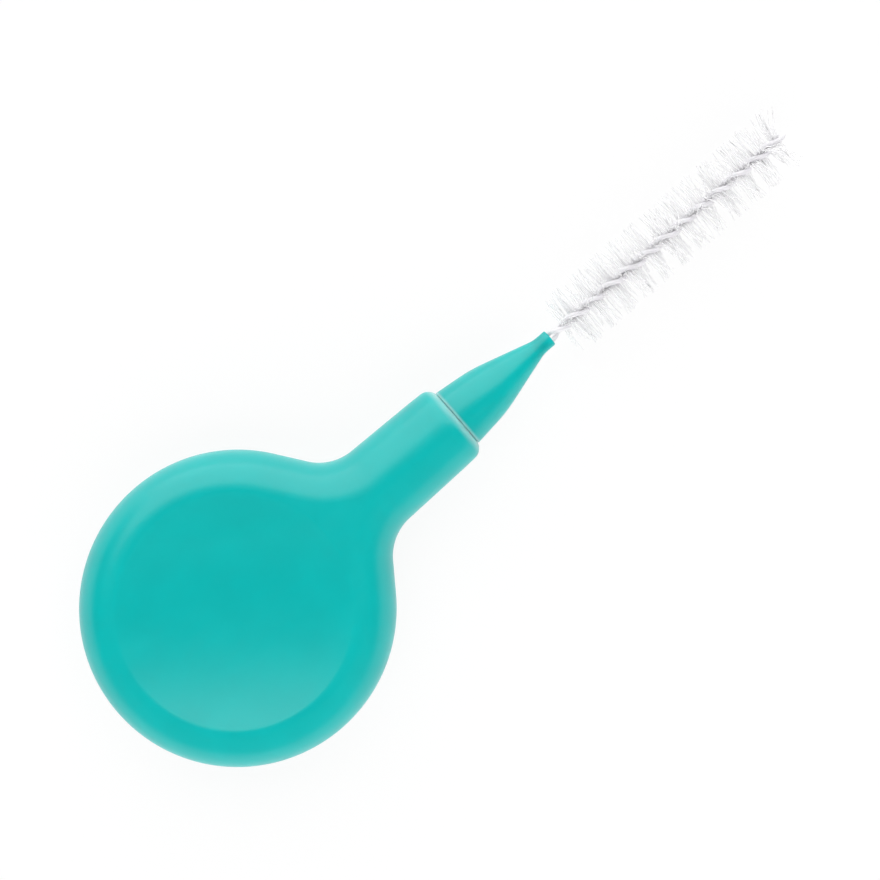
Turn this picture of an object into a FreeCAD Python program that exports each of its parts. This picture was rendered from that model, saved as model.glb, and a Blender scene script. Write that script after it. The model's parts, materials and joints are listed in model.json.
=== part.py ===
"""Pocket interdental brush: a round finger grip with a plug-in brush head.

The grip is one moulding, a dished disc with a short neck. The head is a moulded collar that holds
a steel wire. The wire is folded at its tip and twisted, and nylon filaments are pinched between
its two legs. Lengths are millimetres. The origin is the disc's centre on the plane that the brush
lies on, +X runs along the neck to the tip of the brush, and +Z is up.
"""

import FreeCAD, Part

import math
import os

from FreeCAD import Vector

# Grip disc, held between thumb and finger
DISC_DIAMETER = 16.0
DISH_DEPTH = 0.88  # hollow for the fingertip, on both faces
REST_RING_WIDTH = 0.15  # flat ring between the dish and the rounded edge, on both faces
RIM_REACH = 1.9  # from the flat rings out to the disc's edge
RIM_PROUD = 0.08  # height of each flat ring beyond the neck

# Neck, with the socket that the head plugs into
NECK_REACH = 14.65  # from the disc's centre to the neck's end face
NECK_WALL = 0.89  # beside the socket
NECK_END_ROUND = 0.65
NECK_ROOT_SWELL = 0.04  # growth of the neck's radius from its straight land to the disc
ROOT_FILLET = 3.3
ROOT_MARGIN = 0.2  # from the end of the fillet to the neck's straight land
SOCKET_FLOOR_GAP = 0.3

# Plug of the collar, pushed into the socket
PLUG_DIAMETER = 2.4
PLUG_LENGTH = 5.6
PLUG_LEAD_CHAMFER = 0.25
FIT_CLEARANCE = 0.03  # between plug and socket, on the radius

# Nose of the collar, seated on the neck's end face
NOSE_LENGTH = 6.2
NOSE_SHOULDER_REACH = 2.1  # from the seat to where the flank steepens
NOSE_SHOULDER_DIAMETER = 2.82
NOSE_TIP_LAND = 0.75  # straight end round the wire
NOSE_TIP_WALL = 0.11
SEAT_WIDTH = 0.46  # ledge round the plug that rests on the neck's end face
SEAT_EDGE_CHAMFER = 0.08

# Core wire
WIRE_DIAMETER = 0.24
WIRE_SEAT = 3.6  # length that the collar holds
WIRE_CLEARANCE = 0.02  # round the twisted wire, inside the collar
TWIST_PITCH = 2.4  # length of one full turn
UNTWIST_LENGTH = 0.6  # stretch before the fold in which the twist dies away

# Filaments
FILAMENT_DIAMETER = 0.1
FILAMENT_GAP = 0.035  # between neighbours, along the wire
PINCH_CLEARANCE = 0.005  # between a filament and each leg of the wire
BRUSH_DIAMETER = 3.5
FIELD_LENGTH = 14.4  # from the first filament to the last
BARE_STEM = 0.9  # from the collar's tip to the first filament
BARE_TIP = 0.1  # from the last filament to the fold of the wire

CUT_OVERRUN = 1.0
FULL_TURN = 360.0

# Flat sides of the finest pieces
WIRE_SIDES = 8
WIRE_STEPS_PER_TURN = 8
UNTWIST_STEPS = 2
FOLD_STEPS = 4
FILAMENT_SIDES = 6

# Grip sizes that follow
SOCKET_RADIUS = PLUG_DIAMETER / 2 + FIT_CLEARANCE
NECK_RADIUS = SOCKET_RADIUS + NECK_WALL
AXIS_HEIGHT = NECK_RADIUS + RIM_PROUD
DISC_THICKNESS = 2 * AXIS_HEIGHT
RING_RADIUS = DISC_DIAMETER / 2 - RIM_REACH
RIM_ROUND = (AXIS_HEIGHT**2 + RIM_REACH**2) / (2 * RIM_REACH)
RIM_CENTRE_RADIUS = DISC_DIAMETER / 2 - RIM_ROUND  # of the circle that the rim's arc is drawn round
DISH_RADIUS = RING_RADIUS - REST_RING_WIDTH
DISH_BALL_RADIUS = (DISH_RADIUS**2 + DISH_DEPTH**2) / (2 * DISH_DEPTH)
FILLET_END_X = math.sqrt((DISC_DIAMETER / 2 + ROOT_FILLET) ** 2 - (NECK_RADIUS + ROOT_FILLET) ** 2)
LAND_START_X = FILLET_END_X + ROOT_MARGIN

# Head sizes that follow
PLUG_END_X = NECK_REACH - PLUG_LENGTH
NOSE_TIP_X = NECK_REACH + NOSE_LENGTH
FIELD_START_X = NOSE_TIP_X + BARE_STEM
LEG_END_X = FIELD_START_X + FIELD_LENGTH + BARE_TIP
UNTWIST_START_X = LEG_END_X - UNTWIST_LENGTH
TAIL_X = NOSE_TIP_X - WIRE_SEAT
TWIST_RATE = 2 * math.pi / TWIST_PITCH
LEG_OFFSET = (WIRE_DIAMETER + FILAMENT_DIAMETER) / 2 + PINCH_CLEARANCE
LEG_RADIUS = LEG_OFFSET / math.cos(math.pi / WIRE_STEPS_PER_TURN)  # at the ends of straight runs
WIRE_HOLE_RADIUS = LEG_RADIUS + WIRE_DIAMETER / 2 + WIRE_CLEARANCE
FILAMENT_CORNER_RADIUS = FILAMENT_DIAMETER / 2 / math.cos(math.pi / FILAMENT_SIDES)
ROW_LENGTH = TWIST_PITCH / 2  # a half turn carries a filament's two ends once round the wire

NECK_AXIS_POINT = Vector(0, 0, AXIS_HEIGHT)
ALONG_NECK = Vector(1, 0, 0)
UP = Vector(0, 0, 1)


def line(start, end):
    return Part.LineSegment(start, end).toShape()


def beside_axis(x, radius):
    """Point of the half section that is turned round the neck's axis."""
    return Vector(x, 0, AXIS_HEIGHT + radius)


def turned(edges, point, axis):
    """Solid swept by a closed outline in one full turn."""
    return Part.Face(Part.Wire(edges)).revolve(point, axis, FULL_TURN)


def outline(places):
    """Straight edges through points of the half section that is turned round the neck's axis."""
    return Part.makePolygon([beside_axis(x, radius) for x, radius in places]).Edges


# Grip


def dish_ball(inwards):
    """Ball that hollows one face: the upper for -1, the lower for 1. Its seam is on its far side."""
    face_height = DISC_THICKNESS if inwards < 0 else 0
    centre_height = face_height + inwards * (DISH_DEPTH - DISH_BALL_RADIUS)
    return Part.makeSphere(DISH_BALL_RADIUS, Vector(0, 0, centre_height), ALONG_NECK * -inwards)


def grip_disc():
    """Disc with a rounded edge, dished on both faces."""
    top_ring, low_ring = Vector(RING_RADIUS, 0, DISC_THICKNESS), Vector(RING_RADIUS, 0, 0)
    top_centre, low_centre = Vector(0, 0, DISC_THICKNESS), Vector(0, 0, 0)
    edge = Part.Arc(top_ring, Vector(DISC_DIAMETER / 2, 0, AXIS_HEIGHT), low_ring).toShape()
    section = [
        line(top_centre, top_ring),
        edge,
        line(low_ring, low_centre),
        line(low_centre, top_centre),
    ]
    return turned(section, low_centre, UP).cut(dish_ball(-1)).cut(dish_ball(1))


def neck_root_radius(x):
    """Radius of the neck between the disc and its straight land."""
    share = (LAND_START_X - x) / (LAND_START_X - RING_RADIUS)
    return NECK_RADIUS + NECK_ROOT_SWELL * share


def neck_blank():
    """Round bar from inside the disc to the neck's end: a slight cone, then the straight land."""
    section = outline(
        [
            (RING_RADIUS, 0),
            (RING_RADIUS, neck_root_radius(RING_RADIUS)),
            (LAND_START_X, NECK_RADIUS),
            (NECK_REACH, NECK_RADIUS),
            (NECK_REACH, 0),
            (RING_RADIUS, 0),
        ]
    )
    bar = turned(section, NECK_AXIS_POINT, ALONG_NECK)
    end_edges = [edge for edge in bar.Edges if is_neck_end_edge(edge)]
    return bar.makeFillet(NECK_END_ROUND, end_edges)


def is_neck_end_edge(edge):
    point = edge.valueAt(edge.FirstParameter)
    from_neck_axis = math.hypot(point.y, point.z - AXIS_HEIGHT)
    at_end = math.isclose(edge.BoundBox.XMin, NECK_REACH, rel_tol=1e-4)
    return at_end and math.isclose(from_neck_axis, NECK_RADIUS, rel_tol=1e-4)


def is_root_edge(edge):
    """Whether an edge lies both on the neck and on the disc's round edge, where the two meet."""
    point = edge.valueAt((edge.FirstParameter + edge.LastParameter) / 2)
    height = point.z - AXIS_HEIGHT
    from_neck_axis = math.hypot(point.y, height)
    from_rim_centre = math.hypot(math.hypot(point.x, point.y) - RIM_CENTRE_RADIUS, height)
    on_neck = math.isclose(from_neck_axis, neck_root_radius(point.x), rel_tol=1e-4)
    return on_neck and math.isclose(from_rim_centre, RIM_ROUND, rel_tol=1e-4)


def socket():
    """Hole for the plug, drawn out past the neck's end."""
    floor_x = PLUG_END_X - SOCKET_FLOOR_GAP
    length = NECK_REACH + CUT_OVERRUN - floor_x
    return Part.makeCylinder(SOCKET_RADIUS, length, beside_axis(floor_x, 0), ALONG_NECK)


def grip():
    """Disc and neck as one moulding, blended at the root, with the socket in the neck."""
    blank = grip_disc().fuse(neck_blank())
    root_edges = [edge for edge in blank.Edges if is_root_edge(edge)]
    return blank.makeFillet(ROOT_FILLET, root_edges).cut(socket()).Solids[0]


# Brush head


def brush_collar():
    """Plug and nose in one moulding, with a blind hole that holds the wire."""
    plug_radius = PLUG_DIAMETER / 2
    seat_radius = plug_radius + SEAT_WIDTH
    tip_radius = WIRE_HOLE_RADIUS + NOSE_TIP_WALL
    hole_floor_x = TAIL_X - WIRE_CLEARANCE
    section = outline(
        [
            (PLUG_END_X, 0),
            (PLUG_END_X, plug_radius - PLUG_LEAD_CHAMFER),
            (PLUG_END_X + PLUG_LEAD_CHAMFER, plug_radius),
            (NECK_REACH, plug_radius),
            (NECK_REACH, seat_radius - SEAT_EDGE_CHAMFER),
            (NECK_REACH + SEAT_EDGE_CHAMFER, seat_radius),
            (NECK_REACH + NOSE_SHOULDER_REACH, NOSE_SHOULDER_DIAMETER / 2),
            (NOSE_TIP_X - NOSE_TIP_LAND, tip_radius),
            (NOSE_TIP_X, tip_radius),
            (NOSE_TIP_X, WIRE_HOLE_RADIUS),
            (hole_floor_x, WIRE_HOLE_RADIUS),
            (hole_floor_x, 0),
            (PLUG_END_X, 0),
        ]
    )
    return turned(section, NECK_AXIS_POINT, ALONG_NECK)


def twist_angle(x):
    """Turn of the wire's legs about the axis: steady along the wire, then dying away to the fold."""
    steady = min(x, UNTWIST_START_X) - TAIL_X
    easing = max(x - UNTWIST_START_X, 0)
    return TWIST_RATE * (steady + easing - easing**2 / (2 * UNTWIST_LENGTH))


def spoke(x, quarter_turns=0):
    """Unit direction from the axis to the first leg, or that direction turned by quarter turns."""
    angle = twist_angle(x) + quarter_turns * math.pi / 2
    return Vector(0, math.cos(angle), math.sin(angle))


def wire_path():
    """Corners of the wire's centre line: out along one leg, round the fold, back along the other."""
    twisted = UNTWIST_START_X - TAIL_X
    steps = math.ceil(twisted / TWIST_PITCH * WIRE_STEPS_PER_TURN)
    stations = [TAIL_X + twisted * i / steps for i in range(steps)]
    stations += [UNTWIST_START_X + UNTWIST_LENGTH * i / UNTWIST_STEPS for i in range(UNTWIST_STEPS)]
    leg_out = [beside_axis(x, 0) + spoke(x) * LEG_RADIUS for x in stations]
    leg_back = [beside_axis(x, 0) - spoke(x) * LEG_RADIUS for x in reversed(stations)]
    fold = []
    for i in range(FOLD_STEPS + 1):
        turn = math.pi * i / FOLD_STEPS
        aside = spoke(LEG_END_X) * (LEG_RADIUS * math.cos(turn))
        fold.append(beside_axis(LEG_END_X + LEG_RADIUS * math.sin(turn), 0) + aside)
    return leg_out + fold + leg_back


def polygon_corners(centre, first_way, second_way, radius, sides):
    """Corners of a regular polygon, counted from the first direction towards the second."""
    turns = [2 * math.pi * i / sides for i in range(sides)]
    return [
        centre + first_way * (radius * math.cos(turn)) + second_way * (radius * math.sin(turn))
        for turn in turns
    ]


def flat_face(corners):
    return Part.Face(Part.makePolygon(corners + corners[:1]))


def core_wire():
    """One wire, drawn with flat sides that are mitred at each corner of its path."""
    path = wire_path()
    ways = [(end - start).normalize() for start, end in zip(path, path[1:])]
    mitres = [way + next_way for way, next_way in zip(ways, ways[1:])]
    first_way = ways[0].cross(UP).normalize()
    second_way = ways[0].cross(first_way)
    ring = polygon_corners(path[0], first_way, second_way, WIRE_DIAMETER / 2, WIRE_SIDES)
    rings = []
    for point, way, plane in zip(path, ways[:1] + ways, [ALONG_NECK] + mitres + [ALONG_NECK]):
        ring = [corner + way * ((point - corner).dot(plane) / way.dot(plane)) for corner in ring]
        rings.append(ring)
    faces = [flat_face(rings[0]), flat_face(rings[-1])]
    for near, far in zip(rings, rings[1:]):
        for i in range(WIRE_SIDES):
            faces.append(flat_face([near[i - 1], near[i], far[i], far[i - 1]]))
    return Part.Solid(Part.Shell(faces))


def filament(x):
    """One straight filament, drawn with flat sides, pinched at its middle between the legs."""
    way = spoke(x, 1)
    start = beside_axis(x, 0) - way * (BRUSH_DIAMETER / 2)
    corners = polygon_corners(start, ALONG_NECK, spoke(x), FILAMENT_CORNER_RADIUS, FILAMENT_SIDES)
    return flat_face(corners).extrude(way * BRUSH_DIAMETER)


def filament_rows():
    """The filaments, grouped by the half turn of the wire that holds them."""
    spaces = math.floor(FIELD_LENGTH / (2 * FILAMENT_CORNER_RADIUS + FILAMENT_GAP))
    row_count = math.ceil(FIELD_LENGTH / ROW_LENGTH)
    rows = {}
    for i in range(spaces + 1):
        along = FIELD_LENGTH * i / spaces
        number = min(math.floor(along / ROW_LENGTH) + 1, row_count)
        rows.setdefault(f"filament_row_{number:02d}", []).append(filament(FIELD_START_X + along))
    return {name: Part.Compound(filaments) for name, filaments in rows.items()}


def main():
    nodes = {"grip": grip(), "brush_collar": brush_collar(), "core_wire": core_wire()}
    nodes.update(filament_rows())
    os.makedirs("parts", exist_ok=True)
    for name, shape in nodes.items():
        shape.exportStep(os.path.join("parts", name + ".step"))
        print(f"{name}: {len(shape.Solids)} solids, {shape.Volume:.4f} mm3, valid {shape.isValid()}")


main()
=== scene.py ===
"""Pocket interdental brush, dressed for its picture.

The file is laid out as an add-on. It has one operator for each moulding, one for the wire, one for
the filaments and one for the stage, and the sidebar holds the sizes and colours that a user would
change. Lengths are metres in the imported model's frame: +X runs along the neck to the tip of the
brush, and +Z is up.
"""

import json
import math
import random

import bmesh
import bpy
from bpy.props import FloatProperty, FloatVectorProperty, IntProperty, PointerProperty
from mathutils import Matrix, Vector

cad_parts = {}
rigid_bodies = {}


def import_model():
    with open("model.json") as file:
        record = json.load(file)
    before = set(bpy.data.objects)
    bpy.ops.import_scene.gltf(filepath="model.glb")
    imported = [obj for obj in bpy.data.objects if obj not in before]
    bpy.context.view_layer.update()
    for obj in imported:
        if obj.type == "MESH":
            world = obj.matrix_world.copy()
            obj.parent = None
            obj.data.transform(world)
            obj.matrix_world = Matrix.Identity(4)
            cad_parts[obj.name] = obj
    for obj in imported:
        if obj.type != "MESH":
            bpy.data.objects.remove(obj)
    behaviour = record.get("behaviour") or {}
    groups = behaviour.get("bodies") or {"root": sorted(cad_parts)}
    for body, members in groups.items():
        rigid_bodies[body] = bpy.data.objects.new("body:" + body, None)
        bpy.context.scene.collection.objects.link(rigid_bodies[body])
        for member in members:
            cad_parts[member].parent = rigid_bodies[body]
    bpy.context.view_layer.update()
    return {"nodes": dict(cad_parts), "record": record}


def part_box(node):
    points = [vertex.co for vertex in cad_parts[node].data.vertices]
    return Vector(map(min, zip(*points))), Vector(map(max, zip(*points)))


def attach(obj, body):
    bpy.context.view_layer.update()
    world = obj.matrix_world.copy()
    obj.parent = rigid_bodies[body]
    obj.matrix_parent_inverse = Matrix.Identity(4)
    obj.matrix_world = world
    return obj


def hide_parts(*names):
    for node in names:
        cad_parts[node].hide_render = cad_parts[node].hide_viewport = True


bl_info = {
    "name": "Pocket Interdental Brush",
    "version": (1, 0, 0),
    "blender": (4, 5, 0),
    "location": "3D View > Sidebar > Brush",
    "description": "Builds a pocket interdental brush and a plain stage round its packed frame",
    "category": "Add Mesh",
}

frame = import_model()

MM = 0.001
QUARTER_TURN = math.pi / 2

# Places read from the frame
GRIP_LOW, GRIP_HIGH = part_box("grip")
COLLAR_LOW, COLLAR_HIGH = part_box("brush_collar")
WIRE_LOW, WIRE_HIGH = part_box("core_wire")
ROW_NODES = sorted(name for name in frame["nodes"] if name.startswith("filament_row"))
ROW_BOXES = [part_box(name) for name in ROW_NODES]
NECK_LAND = next(mount for mount in frame["record"]["mounts"] if mount["name"] == "neck_land")
AXIS_HEIGHT = NECK_LAND["pos_m"][2]
NECK_RADIUS = NECK_LAND["dims"]["r_mm"] * MM
SEAT_DIAMETER = COLLAR_HIGH.y - COLLAR_LOW.y
BRUSH_DIAMETER = max(high.y - low.y for low, high in ROW_BOXES)

# Fineness of the meshes
NECK_STEPS = 24
BLEND_STEPS = 24
DISC_STEPS = 96
EDGE_STEPS = 16
WEB_STEPS = 18
DISH_STEPS = 24
ARC_STEPS = 6
COLLAR_SIDES = 72
WIRE_SIDES = 14
WIRE_STEPS_PER_TURN = 28
FOLD_STEPS = 14
FILAMENT_SIDES = 7
FILAMENT_STEPS = 10
FLOOR_SIDES = 64
WELD_DISTANCE = 0.0005 * MM
SHARP_ANGLE = math.radians(35)

# Share of its own space along the wire in which a filament is set
FILAMENT_PLACE = (0.2, 0.8)

# Range in which most values of a noise texture lie
NOISE_RANGE = (0.3, 0.7)

# Moulded plastic
CLOUD_SIZE = 2.2 * MM
CLOUD_TINTS = (0.97, 1.03)
STREAK_SIZE = 0.5 * MM
STREAK_STRETCH = (5, 1, 1)
GRAIN_SIZE = 0.09 * MM
GRAIN_HEIGHT = 0.002 * MM
PLASTIC_ROUGHNESS = (0.3, 0.35)
PLASTIC_SCATTER = 0.6
PLASTIC_SCATTER_SPREAD = (0.3, 1.0, 1.0)
PLASTIC_SCATTER_DEPTH = 1.2 * MM

# Coated steel
DIE_LINE_SIZE = 0.03 * MM
DIE_LINE_STRETCH = (12, 1, 1)
DIE_LINE_HEIGHT = 0.001 * MM
STAIN_SIZE = 0.7 * MM
STAIN_TINTS = (0.93, 1.03)
STEEL_ROUGHNESS = (0.5, 0.65)
STEEL_METALLIC = 0.15

# Milky nylon
SKIN_SIZE = 0.04 * MM
SKIN_HEIGHT = 0.001 * MM
FILAMENT_TINTS = (0.97, 1.01)
NYLON_ROUGHNESS = (0.22, 0.36)
NYLON_GLOSS = 0.3
NYLON_CLEARNESS = 0.04
NYLON_SCATTER = 1.0
NYLON_SCATTER_SPREAD = (1.0, 1.0, 1.0)
NYLON_SCATTER_DEPTH = 0.05 * MM

# Heights between which the surroundings fade, as the Z of a direction
SKY_FADE = (0.08, 0.25)

# Radius of the floor in light distances, and nearest thing seen in camera distances
FLOOR_REACH = 10
NEAR_CLIP = 0.01


def length(name, description, default):
    """Property for a length, shown in the scene's units."""
    return FloatProperty(
        name=name,
        description=description,
        default=default,
        min=0,
        unit="LENGTH",
        subtype="DISTANCE",
    )


def level(name, description, default):
    """Property for a share or a light level."""
    return FloatProperty(
        name=name,
        description=description,
        default=default,
        min=0,
        subtype="FACTOR",
    )


def angle(name, description, default):
    """Property for an angle, given in degrees."""
    return FloatProperty(
        name=name,
        description=description,
        default=math.radians(default),
        unit="ROTATION",
        subtype="ANGLE",
    )


def colour(name, description, default):
    """Property for a colour."""
    return FloatVectorProperty(
        name=name,
        description=description,
        default=default,
        min=0,
        max=1,
        size=3,
        subtype="COLOR",
    )


class GripSettings(bpy.types.PropertyGroup):
    """Sizes and colour of the finger disc and its neck"""

    disc_diameter: length("Disc diameter", "Width of the finger disc", -2 * GRIP_LOW.x)
    dish_depth: length("Dish depth", "Depth of the hollow in each face", 0.88 * MM)
    rim_reach: length("Rim reach", "From the flat rings out to the disc's edge", 1.9 * MM)
    ring_width: length("Ring width", "Flat ring between the dish and the rounded edge", 0.15 * MM)
    dish_edge: length("Dish edge", "Rounding where the dish meets the ring", 0.8 * MM)
    neck_reach: length("Neck reach", "From the disc's centre to the neck's end", GRIP_HIGH.x)
    neck_radius: length("Neck radius", "Radius at the neck's end", NECK_RADIUS)
    neck_draft: length("Neck draft", "Growth of the radius from end to root", 0.11 * MM)
    flank_turn: angle("Flank turn", "Turn from the neck where the root leaves the disc", 36.0)
    root_fillet: length("Root fillet", "Rounding between the neck and the root's flanks", 2.6 * MM)
    end_round: length("End round", "Rounding of the neck's end", 0.65 * MM)
    socket_diameter: length("Socket diameter", "Hole for the head's plug", 2.46 * MM)
    socket_depth: length("Socket depth", "Depth of that hole", 5.9 * MM)
    socket_edge: length("Socket edge", "Rounding at the hole's mouth and floor", 0.06 * MM)
    parting_height: length("Parting line height", "Height of the mould's parting line", 0.012 * MM)
    parting_width: length("Parting line width", "Width of the mould's parting line", 0.06 * MM)
    # Painted highlight at the joint, where the plug is pressed in: its width and its share of
    # white.
    joint_highlight_width: length("Mouth width", "Highlighted edge where the plug is pressed in", 0.45 * MM)
    joint_highlight_share: level("Mouth highlighting", "Share of white in that edge", 0.3)
    body_colour: colour("Colour", "Colour of the plastic", (0.0, 0.47, 0.452))


class CollarSettings(bpy.types.PropertyGroup):
    """Sizes and colour of the brush head's moulding"""

    plug_diameter: length("Plug diameter", "Plug that is pushed into the neck", 2.4 * MM)
    plug_chamfer: length("Plug chamfer", "Lead-in at the plug's end", 0.25 * MM)
    seat_diameter: length("Seat diameter", "Ledge that rests on the neck's end", SEAT_DIAMETER)
    seat_edge: length("Seat edge", "Rounding of that ledge", 0.04 * MM)
    # Painted highlight on each side of the seat's ledge: its width.
    seat_highlight_width: length("White width", "Highlighted edge on each side of that ledge", 0.2 * MM)
    shoulder_reach: length("Shoulder reach", "From the seat to where the flank steepens", 2.1 * MM)
    shoulder_diameter: length("Shoulder diameter", "Width of the nose there", 2.82 * MM)
    shoulder_round: length("Shoulder round", "Rounding of the flank there", 8.0 * MM)
    tip_land: length("Tip land", "Straight end round the wire", 0.75 * MM)
    tip_diameter: length("Tip diameter", "Width of that end", 0.88 * MM)
    tip_round: length("Tip round", "Rounding into the straight end", 1.6 * MM)
    tip_edge: length("Tip edge", "Rounding of the end's outer edge", 0.06 * MM)
    hole_diameter: length("Hole diameter", "Hole that the wire goes into", 0.66 * MM)
    body_colour: colour("Colour", "Colour of the plastic", (0.0, 0.465, 0.446))


class WireSettings(bpy.types.PropertyGroup):
    """Sizes and colour of the twisted core wire"""

    wire_diameter: length("Wire diameter", "Width of the wire before twisting", 0.24 * MM)
    twist_pitch: length("Twist pitch", "Length of one full turn", 2.4 * MM)
    untwist_length: length("Untwist length", "Where the twist dies away to the fold", 0.6 * MM)
    steel_colour: colour("Colour", "Colour of the coated steel", (0.89, 0.88, 0.905))


class FilamentSettings(bpy.types.PropertyGroup):
    """Sizes, number and colour of the filaments"""

    filament_diameter: length("Filament diameter", "Width of one filament", 0.046 * MM)
    brush_diameter: length("Brush diameter", "Width over the filaments", BRUSH_DIAMETER)
    filaments_per_row: IntProperty(
        name="Filaments per row",
        description="Number in each half turn of the wire",
        default=38,
        min=1,
    )
    trim_spread: level("Trim spread", "Largest share by which a filament is cut short", 0.06)
    lean: length("Lean", "Largest lean of a filament's ends along the brush", 0.24 * MM)
    tip_splay: length("Tip splay", "Further lean of the last filaments towards the tip", 0.35 * MM)
    fan: angle("Fan", "Largest turn of a filament away from the twist", 50.0)
    curl: angle("Curl", "Largest further turn at a filament's ends", 18.0)
    seed: IntProperty(name="Seed", description="Start of the random draws", default=11, min=0)
    nylon_colour: colour("Colour", "Colour of the nylon", (0.945, 0.936, 0.958))


class StageSettings(bpy.types.PropertyGroup):
    """Camera, floor and light"""

    picture_width: length("Picture width", "Width of the view at the neck's height", 44.44 * MM)
    picture_x: length("Picture centre X", "Place of the view's centre along the neck", 13.27 * MM)
    picture_y: FloatProperty(
        name="Picture centre Y",
        description="Place of the view's centre across the neck",
        default=-0.27 * MM,
        unit="LENGTH",
        subtype="DISTANCE",
    )
    neck_slope: angle("Neck slope", "Angle of the neck above the picture's right", 40.96)
    lens: FloatProperty(name="Lens", description="Focal length", default=90.0, unit="CAMERA")
    light_distance: length("Light distance", "From the disc to both softboxes", 620 * MM)
    light_azimuth: angle("Light azimuth", "Way to the key softbox, from +X towards +Y", 54.0)
    key_width: length("Key width", "Level side of the key softbox", 1100 * MM)
    key_drop: length("Key drop", "Other side of the key softbox", 950 * MM)
    key_height: angle("Key height", "Height of the key softbox above the floor", 37.0)
    key_radiance: level("Key radiance", "Brightness of the key softbox's face", 1.95)
    fill_width: length("Fill width", "Level side of the fill softbox, opposite the key", 1500 * MM)
    fill_drop: length("Fill drop", "Other side of the fill softbox", 600 * MM)
    fill_height: angle("Fill height", "Height of the fill softbox above the floor", 43.0)
    fill_radiance: level("Fill radiance", "Brightness of the fill softbox's face", 2.05)
    horizon_level: level("Horizon level", "Brightness of the surroundings at the horizon", 1.0)
    zenith_level: level("Zenith level", "Brightness of the surroundings overhead", 0.05)
    floor_colour: colour("Floor colour", "Colour of the floor", (0.94, 0.94, 0.94))
    floor_glow: level("Floor glow", "Share of plain white in the floor as the camera sees it", 0.9)


# Mesh tools


def shares(steps):
    """Even shares from 0 to 1."""
    return [i / steps for i in range(steps + 1)]


def between(start, end, share):
    """Value at a share of the way from start to end."""
    return start + (end - start) * share


def eased(share):
    """Share that starts and ends gently."""
    return share * share * (3 - 2 * share)


def on_neck_axis(x, radius, turn):
    """Point at a radius from the neck's axis, turned from +Y towards +Z."""
    return Vector((x, radius * math.cos(turn), AXIS_HEIGHT + radius * math.sin(turn)))


def loft(mesh, rows, closed=False):
    """Faces between neighbouring rows of points. A closed row also joins its end to its start."""
    made = [[mesh.verts.new(point) for point in row] for row in rows]
    for near, far in zip(made, made[1:]):
        first = 0 if closed else 1
        for i in range(first, len(near)):
            mesh.faces.new((near[i - 1], near[i], far[i], far[i - 1]))


def rounded(corners):
    """Half section through corners of (x, radius, rounding), with an arc at each rounded one."""
    places = [Vector((x, radius)) for x, radius, _ in corners]
    outline = []
    for i, (_, _, rounding) in enumerate(corners):
        if rounding == 0:
            outline.append(places[i])
            continue
        back = (places[i - 1] - places[i]).normalized()
        ahead = (places[i + 1] - places[i]).normalized()
        half_opening = back.angle(ahead) / 2
        centre = places[i] + (back + ahead).normalized() * (rounding / math.sin(half_opening))
        start = places[i] + back * (rounding / math.tan(half_opening)) - centre
        end = places[i] + ahead * (rounding / math.tan(half_opening)) - centre
        sweep = math.atan2(start.x * end.y - start.y * end.x, start.dot(end))
        for share in shares(ARC_STEPS):
            outline.append(centre + Matrix.Rotation(sweep * share, 2) @ start)
    return outline


def tube(mesh, path, radius, sides):
    """Closed round tube along a path, without twist about the path."""
    ways = [(end - start).normalized() for start, end in zip(path, path[1:])]
    ways = [ways[0]] + [(a + b).normalized() for a, b in zip(ways, ways[1:])] + [ways[-1]]
    aside = ways[0].orthogonal().normalized()
    rows = [[path[0]] * sides]
    for point, way in zip(path, ways):
        aside = (aside - way * aside.dot(way)).normalized()
        across = way.cross(aside)
        turns = [2 * math.pi * i / sides for i in range(sides)]
        rows.append([point + (aside * math.cos(t) + across * math.sin(t)) * radius for t in turns])
    rows.append([path[-1]] * sides)
    loft(mesh, rows, closed=True)


def place_piece(mesh, name, material, body, node):
    """Object with the built mesh, which rides on a body and stands for a node."""
    bmesh.ops.remove_doubles(mesh, verts=mesh.verts, dist=WELD_DISTANCE)
    bmesh.ops.recalc_face_normals(mesh, faces=mesh.faces)
    data = bpy.data.meshes.new(name)
    mesh.to_mesh(data)
    mesh.free()
    data.shade_smooth()
    data.set_sharp_from_angle(angle=SHARP_ANGLE)
    data.materials.append(material)
    piece = bpy.data.objects.new(name, data)
    bpy.context.scene.collection.objects.link(piece)
    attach(piece, body)
    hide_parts(node)


# Materials


def new_material(name):
    """Material with its node tree and its surface shader."""
    material = bpy.data.materials.new(name)
    material.use_nodes = True
    return material, material.node_tree, material.node_tree.nodes["Principled BSDF"]


def noise(tree, feature_size, detail, stretch=(1, 1, 1)):
    """Noise in the object's own frame, with features of one size that may be drawn out."""
    coordinates = tree.nodes.new("ShaderNodeTexCoord")
    mapping = tree.nodes.new("ShaderNodeMapping")
    mapping.inputs["Scale"].default_value = [1 / amount for amount in stretch]
    texture = tree.nodes.new("ShaderNodeTexNoise")
    texture.inputs["Scale"].default_value = 1 / feature_size
    texture.inputs["Detail"].default_value = detail
    tree.links.new(coordinates.outputs["Object"], mapping.inputs["Vector"])
    tree.links.new(mapping.outputs["Vector"], texture.inputs["Vector"])
    return texture.outputs["Fac"]


def map_range(tree, source_range, target_range):
    """Node that carries values from one range into another."""
    spread = tree.nodes.new("ShaderNodeMapRange")
    ends = ("From Min", "From Max", "To Min", "To Max")
    for end, value in zip(ends, (*source_range, *target_range)):
        spread.inputs[end].default_value = value
    return spread


def vary(tree, source, target, levels):
    """Drive a shader's number from a noise texture, from one level to another."""
    spread = map_range(tree, NOISE_RANGE, levels)
    tree.links.new(source, spread.inputs["Value"])
    tree.links.new(spread.outputs["Result"], target)


def tinted(base, amount):
    """A colour made lighter or darker by an amount."""
    return [min(channel * amount, 1) for channel in base]


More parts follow.
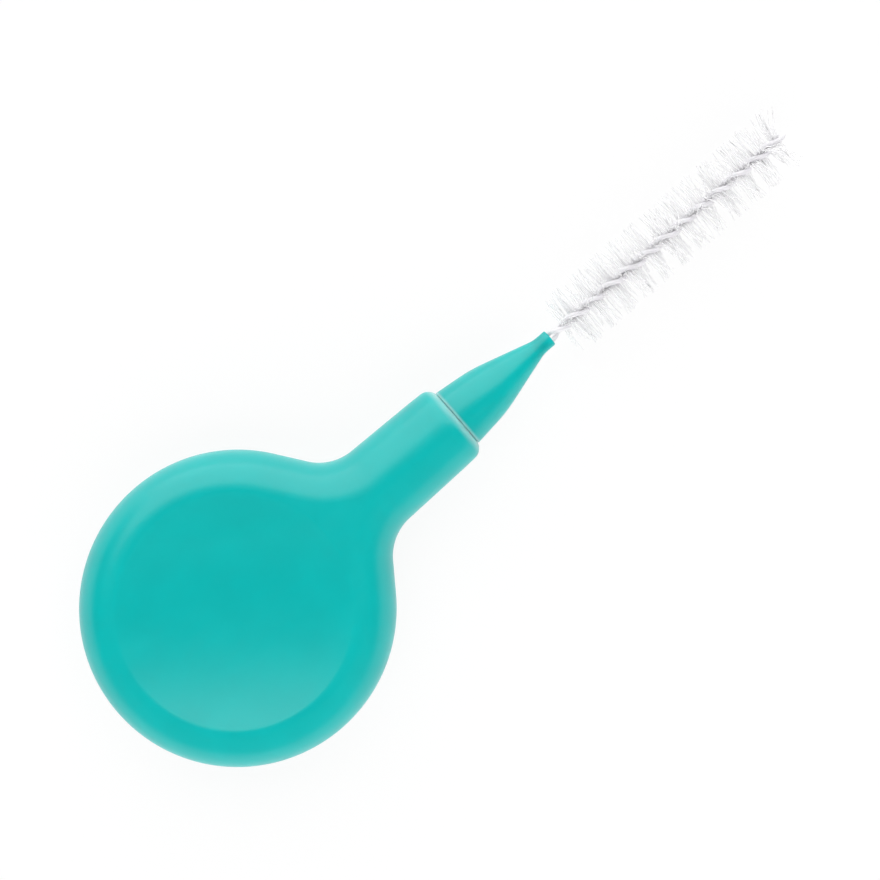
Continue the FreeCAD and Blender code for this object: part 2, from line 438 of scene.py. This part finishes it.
def vary_colour(tree, source, target, base, tints, source_range=NOISE_RANGE):
    """Drive a shader's colour from a texture, from one tint of a base colour to another."""
    ramp = tree.nodes.new("ShaderNodeValToRGB")
    for stop, place, tint in zip(ramp.color_ramp.elements, source_range, tints):
        stop.position = place
        stop.color = (*tinted(base, tint), 1)
    tree.links.new(source, ramp.inputs["Fac"])
    tree.links.new(ramp.outputs["Color"], target)


def bump(tree, source, target, height):
    """Drive a shader's normal from a texture of a given height."""
    relief = tree.nodes.new("ShaderNodeBump")
    relief.inputs["Distance"].default_value = height
    tree.links.new(source, relief.inputs["Height"])
    tree.links.new(relief.outputs["Normal"], target)


def moulded_plastic(name, body_colour):
    """Soft-gloss moulded plastic: faint pigment clouds, flow streaks and a fine mould grain."""
    material, tree, shader = new_material(name)
    clouds = noise(tree, CLOUD_SIZE, detail=3)
    streaks = noise(tree, STREAK_SIZE, detail=4, stretch=STREAK_STRETCH)
    grain = noise(tree, GRAIN_SIZE, detail=2)
    vary_colour(tree, clouds, shader.inputs["Base Color"], body_colour, CLOUD_TINTS)
    vary(tree, streaks, shader.inputs["Roughness"], PLASTIC_ROUGHNESS)
    bump(tree, grain, shader.inputs["Normal"], GRAIN_HEIGHT)
    shader.inputs["Subsurface Weight"].default_value = PLASTIC_SCATTER
    shader.inputs["Subsurface Radius"].default_value = PLASTIC_SCATTER_SPREAD
    shader.inputs["Subsurface Scale"].default_value = PLASTIC_SCATTER_DEPTH
    return material


def paint_joint_highlight(material, place, reach, amount):
    """Painted highlight: turn the plastic paler near a place along the neck, where the joint's edge
    catches the light.
    """
    tree = material.node_tree
    target = tree.nodes["Principled BSDF"].inputs["Base Color"]
    body = target.links[0].from_socket
    coordinates = tree.nodes.new("ShaderNodeTexCoord")
    parts = tree.nodes.new("ShaderNodeSeparateXYZ")
    offset = tree.nodes.new("ShaderNodeMath")
    offset.operation = "SUBTRACT"
    offset.inputs[1].default_value = place
    distance = tree.nodes.new("ShaderNodeMath")
    distance.operation = "ABSOLUTE"
    # Painted highlight: the share of white fades from the joint out to the given reach.
    stretch = map_range(tree, (reach, 0), (0, amount))
    stretch.interpolation_type = "SMOOTHSTEP"
    mix = tree.nodes.new("ShaderNodeMixRGB")
    mix.inputs["Color2"].default_value = (1, 1, 1, 1)
    tree.links.new(coordinates.outputs["Object"], parts.inputs["Vector"])
    tree.links.new(parts.outputs["X"], offset.inputs[0])
    tree.links.new(offset.outputs["Value"], distance.inputs[0])
    tree.links.new(distance.outputs["Value"], stretch.inputs["Value"])
    tree.links.new(stretch.outputs["Result"], mix.inputs["Fac"])
    tree.links.new(body, mix.inputs["Color1"])
    tree.links.new(mix.outputs["Color"], target)


def coated_steel(name, steel_colour):
    """Stainless wire with fine die lines and a pale, mostly matt coat."""
    material, tree, shader = new_material(name)
    die_lines = noise(tree, DIE_LINE_SIZE, detail=3, stretch=DIE_LINE_STRETCH)
    stains = noise(tree, STAIN_SIZE, detail=2)
    vary_colour(tree, stains, shader.inputs["Base Color"], steel_colour, STAIN_TINTS)
    vary(tree, die_lines, shader.inputs["Roughness"], STEEL_ROUGHNESS)
    bump(tree, die_lines, shader.inputs["Normal"], DIE_LINE_HEIGHT)
    shader.inputs["Metallic"].default_value = STEEL_METALLIC
    return material


def milky_nylon(name, nylon_colour):
    """Milky nylon monofilament, each filament a little lighter or darker than the next."""
    material, tree, shader = new_material(name)
    geometry = tree.nodes.new("ShaderNodeNewGeometry")
    island = geometry.outputs["Random Per Island"]
    skin = noise(tree, SKIN_SIZE, detail=2)
    base = shader.inputs["Base Color"]
    vary_colour(tree, island, base, nylon_colour, FILAMENT_TINTS, source_range=(0, 1))
    vary(tree, skin, shader.inputs["Roughness"], NYLON_ROUGHNESS)
    bump(tree, skin, shader.inputs["Normal"], SKIN_HEIGHT)
    shader.inputs["Specular IOR Level"].default_value = NYLON_GLOSS
    shader.inputs["Transmission Weight"].default_value = NYLON_CLEARNESS
    shader.inputs["Subsurface Weight"].default_value = NYLON_SCATTER
    shader.inputs["Subsurface Radius"].default_value = NYLON_SCATTER_SPREAD
    shader.inputs["Subsurface Scale"].default_value = NYLON_SCATTER_DEPTH
    return material


# Grip


def edge_turns(sizes):
    """Turns across the rounded edge, from the top of the edge down to the parting line."""
    parting_turn = sizes.parting_width / 2 / AXIS_HEIGHT
    last = QUARTER_TURN - parting_turn
    return [last * share for share in shares(EDGE_STEPS)] + [QUARTER_TURN]


def fillet_centre(sizes):
    """Centre of the root fillet in plan, on the +Y side."""
    across = sizes.neck_radius + sizes.neck_draft + sizes.root_fillet
    from_flank = sizes.disc_diameter / 2 + sizes.root_fillet
    along = (from_flank - across * math.sin(sizes.flank_turn)) / math.cos(sizes.flank_turn)
    return Vector((along, across))


def neck_stations(sizes):
    """Stations along the neck's side: edge point, way inwards, reach and height of the round."""
    end_x = sizes.neck_reach - sizes.end_round
    stations = []
    for share in shares(NECK_STEPS):
        radius = sizes.neck_radius + sizes.neck_draft * share
        x = between(end_x, fillet_centre(sizes).x, share)
        stations.append((Vector((x, radius)), Vector((0, -1)), radius, min(radius, AXIS_HEIGHT)))
    return stations


def blend_stations(sizes):
    """Stations round the root fillet and along the straight flank, from the neck to the disc.

    The flank has the rim's round all along, because a wider one would fold the web beside it.
    """
    centre = fillet_centre(sizes)
    root_radius = sizes.neck_radius + sizes.neck_draft
    root_height = min(root_radius, AXIS_HEIGHT)
    stations = []
    for share in shares(BLEND_STEPS):
        turn = between(-QUARTER_TURN, sizes.flank_turn - math.pi, share)
        inwards = Vector((math.cos(turn), math.sin(turn)))
        flank_start = centre + inwards * sizes.root_fillet
        reach = between(root_radius, sizes.rim_reach, eased(share))
        height = between(root_height, AXIS_HEIGHT, eased(share))
        stations.append((flank_start, inwards, reach, height))
    flank_end = -inwards * (sizes.disc_diameter / 2)
    for share in shares(BLEND_STEPS)[1:]:
        point = between(flank_start, flank_end, share)
        stations.append((point, inwards, sizes.rim_reach, AXIS_HEIGHT))
    return stations


def disc_turns(sizes):
    """Turns of the disc's stations, from the root's flank to the far side."""
    return [between(sizes.flank_turn, math.pi, share) for share in shares(DISC_STEPS)]


def disc_stations(sizes):
    """Stations round the disc's edge."""
    stations = []
    for turn in disc_turns(sizes):
        outwards = Vector((math.cos(turn), math.sin(turn)))
        point = outwards * (sizes.disc_diameter / 2)
        stations.append((point, -outwards, sizes.rim_reach, AXIS_HEIGHT))
    return stations


def edge_rows(sizes, stations):
    """Quarter-round sections at each station, from the top of the edge to the parting line."""
    end_x = sizes.neck_reach - sizes.end_round
    rows = []
    for point, inwards, reach, height in stations:
        ridge = sizes.parting_height * min((end_x - point.x) / sizes.end_round, 1)
        row = []
        for turn in edge_turns(sizes):
            proud = ridge if turn == QUARTER_TURN else 0
            place = point + inwards * (reach * (1 - math.sin(turn)) - proud)
            row.append(Vector((place.x, place.y, height * math.cos(turn))))
        rows.append(row)
    return rows


def neck_end_rows(sizes):
    """A quarter of the neck's rounded end, its end face and the socket."""
    socket_radius = sizes.socket_diameter / 2
    floor_x = sizes.neck_reach - sizes.socket_depth
    profile = rounded(
        [
            (sizes.neck_reach - 2 * sizes.end_round, sizes.neck_radius, 0),
            (sizes.neck_reach, sizes.neck_radius, sizes.end_round),
            (sizes.neck_reach, socket_radius, sizes.socket_edge),
            (floor_x, socket_radius, sizes.socket_edge),
            (floor_x, 0, 0),
        ]
    )
    turns = edge_turns(sizes)
    return [
        [Vector((x, radius * math.sin(turn), radius * math.cos(turn))) for turn in turns]
        for x, radius in profile[1:]
    ]


def web_turns(sizes):
    """Turns across half of the web between neck and dish, from the flank to the middle."""
    return [sizes.flank_turn * (1 - share) for share in shares(WEB_STEPS)]


def web_rows(sizes):
    """Half of the flat web: arcs that shrink from the ring's edge to the neck's ridge."""
    ring_radius = sizes.disc_diameter / 2 - sizes.rim_reach
    ring = []
    for turn in web_turns(sizes):
        ring.append(Vector((ring_radius * math.cos(turn), ring_radius * math.sin(turn))))
    rows = []
    for point, inwards, reach, height in reversed(blend_stations(sizes)):
        corner = point + inwards * reach
        scale = max(corner.y, 0) / ring[0].y
        places = [corner + (place - ring[0]) * scale for place in ring]
        rows.append([Vector((place.x, max(place.y, 0), height)) for place in places])
    return rows


def dish_profile(sizes):
    """Half section of ring and dish: distances from the disc's axis, drops below the ring."""
    ring_radius = sizes.disc_diameter / 2 - sizes.rim_reach
    dish_radius = ring_radius - sizes.ring_width
    ball = (dish_radius**2 + sizes.dish_depth**2) / (2 * sizes.dish_depth)
    ball_height = ball - sizes.dish_depth
    edge = sizes.dish_edge
    edge_centre = math.sqrt((ball + edge) ** 2 - (ball_height + edge) ** 2)
    slope = math.asin(edge_centre / (ball + edge))
    profile = [(ring_radius, 0)]
    for share in shares(ARC_STEPS):
        turn = slope * share
        profile.append((edge_centre - edge * math.sin(turn), edge * (1 - math.cos(turn))))
    for share in shares(DISH_STEPS)[1:]:
        turn = slope * (1 - share)
        profile.append((ball * math.sin(turn), ball * math.cos(turn) - ball_height))
    return profile


def dish_rows(sizes):
    """Half of the ring and the dish."""
    turns = disc_turns(sizes)[::-1] + web_turns(sizes)[1:]
    rows = []
    for radius, drop in dish_profile(sizes):
        height = AXIS_HEIGHT - drop
        rows.append([Vector((radius * math.cos(t), radius * math.sin(t), height)) for t in turns])
    return rows


def mirrored(rows, side, face):
    """Rows of a quarter of the grip, on one side of the neck and one face of the disc."""
    return [[Vector((x, side * y, AXIS_HEIGHT + face * z)) for x, y, z in row] for row in rows]


def grip_mesh(sizes):
    """Disc and neck, from one quarter and its mirror images."""
    patches = [
        edge_rows(sizes, neck_stations(sizes)),
        edge_rows(sizes, blend_stations(sizes)),
        edge_rows(sizes, disc_stations(sizes)),
        neck_end_rows(sizes),
        web_rows(sizes),
        dish_rows(sizes),
    ]
    mesh = bmesh.new()
    for side in (1, -1):
        for face in (1, -1):
            for rows in patches:
                loft(mesh, mirrored(rows, side, face))
    return mesh


class BuildGrip(bpy.types.Operator):
    """Build the finger disc with its neck"""

    bl_idname = "interdental.build_grip"
    bl_label = "Grip"

    def execute(self, context):
        sizes = context.scene.grip_settings
        material = moulded_plastic("grip_plastic_finish", sizes.body_colour)
        # Paints a highlight into the plastic's colour at the neck's end.
        paint_joint_highlight(material, sizes.neck_reach, sizes.joint_highlight_width, sizes.joint_highlight_share)
        place_piece(grip_mesh(sizes), "grip_moulding", material, "handle", "grip")
        return {"FINISHED"}


# Brush head


class BuildCollar(bpy.types.Operator):
    """Build the moulding that plugs into the neck and holds the wire"""

    bl_idname = "interdental.build_collar"
    bl_label = "Collar"

    def execute(self, context):
        sizes = context.scene.collar_settings
        grip = context.scene.grip_settings
        seat_x = grip.neck_reach
        plug_radius = sizes.plug_diameter / 2
        seat_radius = sizes.seat_diameter / 2
        tip_radius = sizes.tip_diameter / 2
        profile = rounded(
            [
                (COLLAR_LOW.x, 0, 0),
                (COLLAR_LOW.x, plug_radius - sizes.plug_chamfer, 0),
                (COLLAR_LOW.x + sizes.plug_chamfer, plug_radius, 0),
                (seat_x, plug_radius, 0),
                (seat_x, seat_radius, sizes.seat_edge),
                (seat_x + sizes.shoulder_reach, sizes.shoulder_diameter / 2, sizes.shoulder_round),
                (COLLAR_HIGH.x - sizes.tip_land, tip_radius, sizes.tip_round),
                (COLLAR_HIGH.x, tip_radius, sizes.tip_edge),
                (COLLAR_HIGH.x, sizes.hole_diameter / 2, 0),
                (WIRE_LOW.x, sizes.hole_diameter / 2, 0),
                (WIRE_LOW.x, 0, 0),
            ]
        )
        turns = [2 * math.pi * i / COLLAR_SIDES for i in range(COLLAR_SIDES)]
        rows = [[on_neck_axis(x, radius, turn) for turn in turns] for x, radius in profile]
        mesh = bmesh.new()
        loft(mesh, rows, closed=True)
        material = moulded_plastic("collar_plastic_finish", sizes.body_colour)
        # Paints a highlight into the plastic's colour at the seat.
        paint_joint_highlight(material, seat_x, sizes.seat_highlight_width, grip.joint_highlight_share)
        name = "collar_moulding"
        place_piece(mesh, name, material, "brush_head", "brush_collar")
        return {"FINISHED"}


def leg_radius(wire):
    """Distance of each leg's centre line from the axis of the twist."""
    return (WIRE_HIGH.y - WIRE_LOW.y - wire.wire_diameter) / 2


def leg_end(wire):
    """Place along the axis where the legs run into the fold."""
    return WIRE_HIGH.x - leg_radius(wire) - wire.wire_diameter / 2


def twist(wire, x):
    """Turn of the legs about the axis: steady along the wire, then dying away towards the fold."""
    steady_end = leg_end(wire) - wire.untwist_length
    easing = max(x - steady_end, 0)
    distance = min(x, steady_end) - WIRE_LOW.x + easing - easing**2 / (2 * wire.untwist_length)
    return 2 * math.pi * distance / wire.twist_pitch


def wire_path(wire):
    """Centre line of the wire: out along one leg, round the fold and back along the other."""
    end = leg_end(wire)
    radius = leg_radius(wire)
    steps = math.ceil((end - WIRE_LOW.x) / wire.twist_pitch * WIRE_STEPS_PER_TURN)
    stations = [between(WIRE_LOW.x, end, share) for share in shares(steps)]
    leg_out = [on_neck_axis(x, radius, twist(wire, x)) for x in stations[:-1]]
    leg_back = [on_neck_axis(x, -radius, twist(wire, x)) for x in reversed(stations[:-1])]
    fold = []
    for share in shares(FOLD_STEPS):
        turn = math.pi * share
        x = end + radius * math.sin(turn)
        fold.append(on_neck_axis(x, radius * math.cos(turn), twist(wire, end)))
    return leg_out + fold + leg_back


class BuildWire(bpy.types.Operator):
    """Build the folded and twisted core wire"""

    bl_idname = "interdental.build_wire"
    bl_label = "Core wire"

    def execute(self, context):
        wire = context.scene.wire_settings
        mesh = bmesh.new()
        tube(mesh, wire_path(wire), wire.wire_diameter / 2, WIRE_SIDES)
        material = coated_steel("core_steel_finish", wire.steel_colour)
        place_piece(mesh, "twisted_wire", material, "brush_head", "core_wire")
        return {"FINISHED"}


def filament_path(sizes, draw, x, turn, splay):
    """Points along one filament, which bends a little on each side of the wire that pinches it."""
    root_turn = turn + draw.uniform(-sizes.fan, sizes.fan)
    halves = []
    for side in (-1, 1):
        reach = side * sizes.brush_diameter / 2 * (1 - draw.uniform(0, sizes.trim_spread))
        along = splay + draw.uniform(-sizes.lean, sizes.lean)
        aside = draw.uniform(-sizes.curl, sizes.curl)
        half = []
        for share in shares(FILAMENT_STEPS // 2):
            bend = share**2
            half.append(on_neck_axis(x + along * bend, reach * share, root_turn + aside * bend))
        halves.append(half)
    return halves[0][:0:-1] + halves[1]


class BuildFilaments(bpy.types.Operator):
    """Build the filaments, one piece for each half turn of the wire"""

    bl_idname = "interdental.build_filaments"
    bl_label = "Filaments"

    def execute(self, context):
        sizes = context.scene.filament_settings
        wire = context.scene.wire_settings
        material = milky_nylon("filament_nylon_finish", sizes.nylon_colour)
        draw = random.Random(sizes.seed)
        field_start, field_end = ROW_BOXES[0][0].x, ROW_BOXES[-1][1].x
        row_length = (field_end - field_start) / len(ROW_NODES)
        spacing = row_length / sizes.filaments_per_row
        for row, node in enumerate(ROW_NODES):
            mesh = bmesh.new()
            for i in range(sizes.filaments_per_row):
                place = row * sizes.filaments_per_row + i + draw.uniform(*FILAMENT_PLACE)
                x = field_start + spacing * place
                turn = twist(wire, x) + QUARTER_TURN
                splay = sizes.tip_splay * max(1 - (field_end - x) / row_length, 0)
                path = filament_path(sizes, draw, x, turn, splay)
                tube(mesh, path, sizes.filament_diameter / 2, FILAMENT_SIDES)
            name = f"filaments_{row + 1:02d}"
            place_piece(mesh, name, material, "brush_head", node)
        return {"FINISHED"}


# Stage


def studio_floor(stage):
    """White floor: plain matt for the light that bounces, and partly plain white to the eye."""
    material, tree, shader = new_material("floor_paper")
    shader.inputs["Base Color"].default_value = (*stage.floor_colour, 1)
    shader.inputs["Roughness"].default_value = 1.0
    shader.inputs["Specular IOR Level"].default_value = 0.0
    rays = tree.nodes.new("ShaderNodeLightPath")
    seen = rays.outputs["Is Camera Ray"]
    for kind in ("Is Glossy Ray", "Is Transmission Ray"):
        either = tree.nodes.new("ShaderNodeMath")
        either.operation = "MAXIMUM"
        tree.links.new(seen, either.inputs[0])
        tree.links.new(rays.outputs[kind], either.inputs[1])
        seen = either.outputs["Value"]
    share = tree.nodes.new("ShaderNodeMath")
    share.operation = "MULTIPLY"
    share.inputs[1].default_value = stage.floor_glow
    white = tree.nodes.new("ShaderNodeEmission")
    mix = tree.nodes.new("ShaderNodeMixShader")
    tree.links.new(seen, share.inputs[0])
    tree.links.new(share.outputs["Value"], mix.inputs["Fac"])
    tree.links.new(shader.outputs["BSDF"], mix.inputs[1])
    tree.links.new(white.outputs["Emission"], mix.inputs[2])
    tree.links.new(mix.outputs["Shader"], tree.nodes["Material Output"].inputs["Surface"])
    return material


def studio_world(stage):
    """Surroundings that are white at the horizon and darker overhead."""
    world = bpy.data.worlds.new("studio")
    world.use_nodes = True
    tree = world.node_tree
    coordinates = tree.nodes.new("ShaderNodeTexCoord")
    parts = tree.nodes.new("ShaderNodeSeparateXYZ")
    fade = map_range(tree, SKY_FADE, (stage.horizon_level, stage.zenith_level))
    fade.interpolation_type = "SMOOTHSTEP"
    background = tree.nodes["Background"]
    tree.links.new(coordinates.outputs["Generated"], parts.inputs["Vector"])
    tree.links.new(parts.outputs["Z"], fade.inputs["Value"])
    background.inputs["Color"].default_value = (1, 1, 1, 1)
    tree.links.new(fade.outputs["Result"], background.inputs["Strength"])
    return world


def softbox(name, width, drop, radiance, place):
    """Soft light that faces the disc from a place, with a face of even brightness."""
    data = bpy.data.lights.new(name, "AREA")
    data.shape = "RECTANGLE"
    data.size = width
    data.size_y = drop
    data.energy = radiance * math.pi * width * drop
    light = bpy.data.objects.new(name, data)
    light.location = place
    light.rotation_mode = "QUATERNION"
    light.rotation_quaternion = (-place).to_track_quat("-Z", "Y")
    light.visible_camera = False
    return light


def from_disc(distance, azimuth, height):
    """Place at a distance from the disc, in a direction from +X towards +Y and up."""
    flat = math.cos(height)
    way = Vector((flat * math.cos(azimuth), flat * math.sin(azimuth), math.sin(height)))
    return way * distance


def softboxes(stage):
    """Key light beyond the top of the picture, and opposite it a fill that gloss doesn't mirror."""
    distance = stage.light_distance
    place = from_disc(distance, stage.light_azimuth, stage.key_height)
    key = softbox("key_softbox", stage.key_width, stage.key_drop, stage.key_radiance, place)
    place = from_disc(distance, stage.light_azimuth + math.pi, stage.fill_height)
    fill = softbox("fill_softbox", stage.fill_width, stage.fill_drop, stage.fill_radiance, place)
    fill.visible_glossy = False
    return [key, fill]


def picture_camera(stage):
    """Camera straight above the brush, turned so that the neck slopes up to the right."""
    data = bpy.data.cameras.new("picture_camera")
    data.lens = stage.lens
    camera = bpy.data.objects.new("picture_camera", data)
    distance = stage.picture_width * data.lens / data.sensor_width
    camera.location = (stage.picture_x, stage.picture_y, AXIS_HEIGHT + distance)
    camera.rotation_euler = (0, 0, -stage.neck_slope)
    data.clip_start = distance * NEAR_CLIP
    return camera


class BuildStage(bpy.types.Operator):
    """Build the floor, the light and the camera"""

    bl_idname = "interdental.build_stage"
    bl_label = "Stage"

    def execute(self, context):
        stage = context.scene.stage_settings
        objects = context.scene.collection.objects
        radius = FLOOR_REACH * stage.light_distance
        mesh = bmesh.new()
        bmesh.ops.create_circle(mesh, cap_ends=True, segments=FLOOR_SIDES, radius=radius)
        data = bpy.data.meshes.new("floor")
        mesh.to_mesh(data)
        mesh.free()
        data.materials.append(studio_floor(stage))
        floor = bpy.data.objects.new("floor", data)
        objects.link(floor)
        for light in softboxes(stage):
            objects.link(light)
        camera = picture_camera(stage)
        objects.link(camera)
        context.scene.camera = camera
        context.scene.world = studio_world(stage)
        context.scene.view_settings.view_transform = "Standard"
        return {"FINISHED"}


# Add-on


class BrushPanel(bpy.types.Panel):
    """Sizes, colours and build buttons"""

    bl_idname = "VIEW3D_PT_interdental"
    bl_label = "Interdental brush"
    bl_space_type = "VIEW_3D"
    bl_region_type = "UI"
    bl_category = "Brush"

    def draw(self, context):
        for operator, settings_name in BUILD_ORDER:
            column = self.layout.column(align=True)
            column.operator(operator.bl_idname)
            settings = getattr(context.scene, settings_name)
            for name in settings.__annotations__:
                column.prop(settings, name)


BUILD_ORDER = (
    (BuildStage, "stage_settings"),
    (BuildGrip, "grip_settings"),
    (BuildCollar, "collar_settings"),
    (BuildWire, "wire_settings"),
    (BuildFilaments, "filament_settings"),
)
SETTINGS = {
    "stage_settings": StageSettings,
    "grip_settings": GripSettings,
    "collar_settings": CollarSettings,
    "wire_settings": WireSettings,
    "filament_settings": FilamentSettings,
}


def register():
    for name, group in SETTINGS.items():
        bpy.utils.register_class(group)
        setattr(bpy.types.Scene, name, PointerProperty(type=group))
    for operator, _ in BUILD_ORDER:
        bpy.utils.register_class(operator)
    bpy.utils.register_class(BrushPanel)


def unregister():
    bpy.utils.unregister_class(BrushPanel)
    for operator, _ in reversed(BUILD_ORDER):
        bpy.utils.unregister_class(operator)
    for name, group in reversed(SETTINGS.items()):
        delattr(bpy.types.Scene, name)
        bpy.utils.unregister_class(group)


def main():
    register()
    bpy.ops.interdental.build_stage()
    bpy.ops.interdental.build_grip()
    bpy.ops.interdental.build_collar()
    bpy.ops.interdental.build_wire()
    bpy.ops.interdental.build_filaments()


if __name__ == "__main__":
    main()
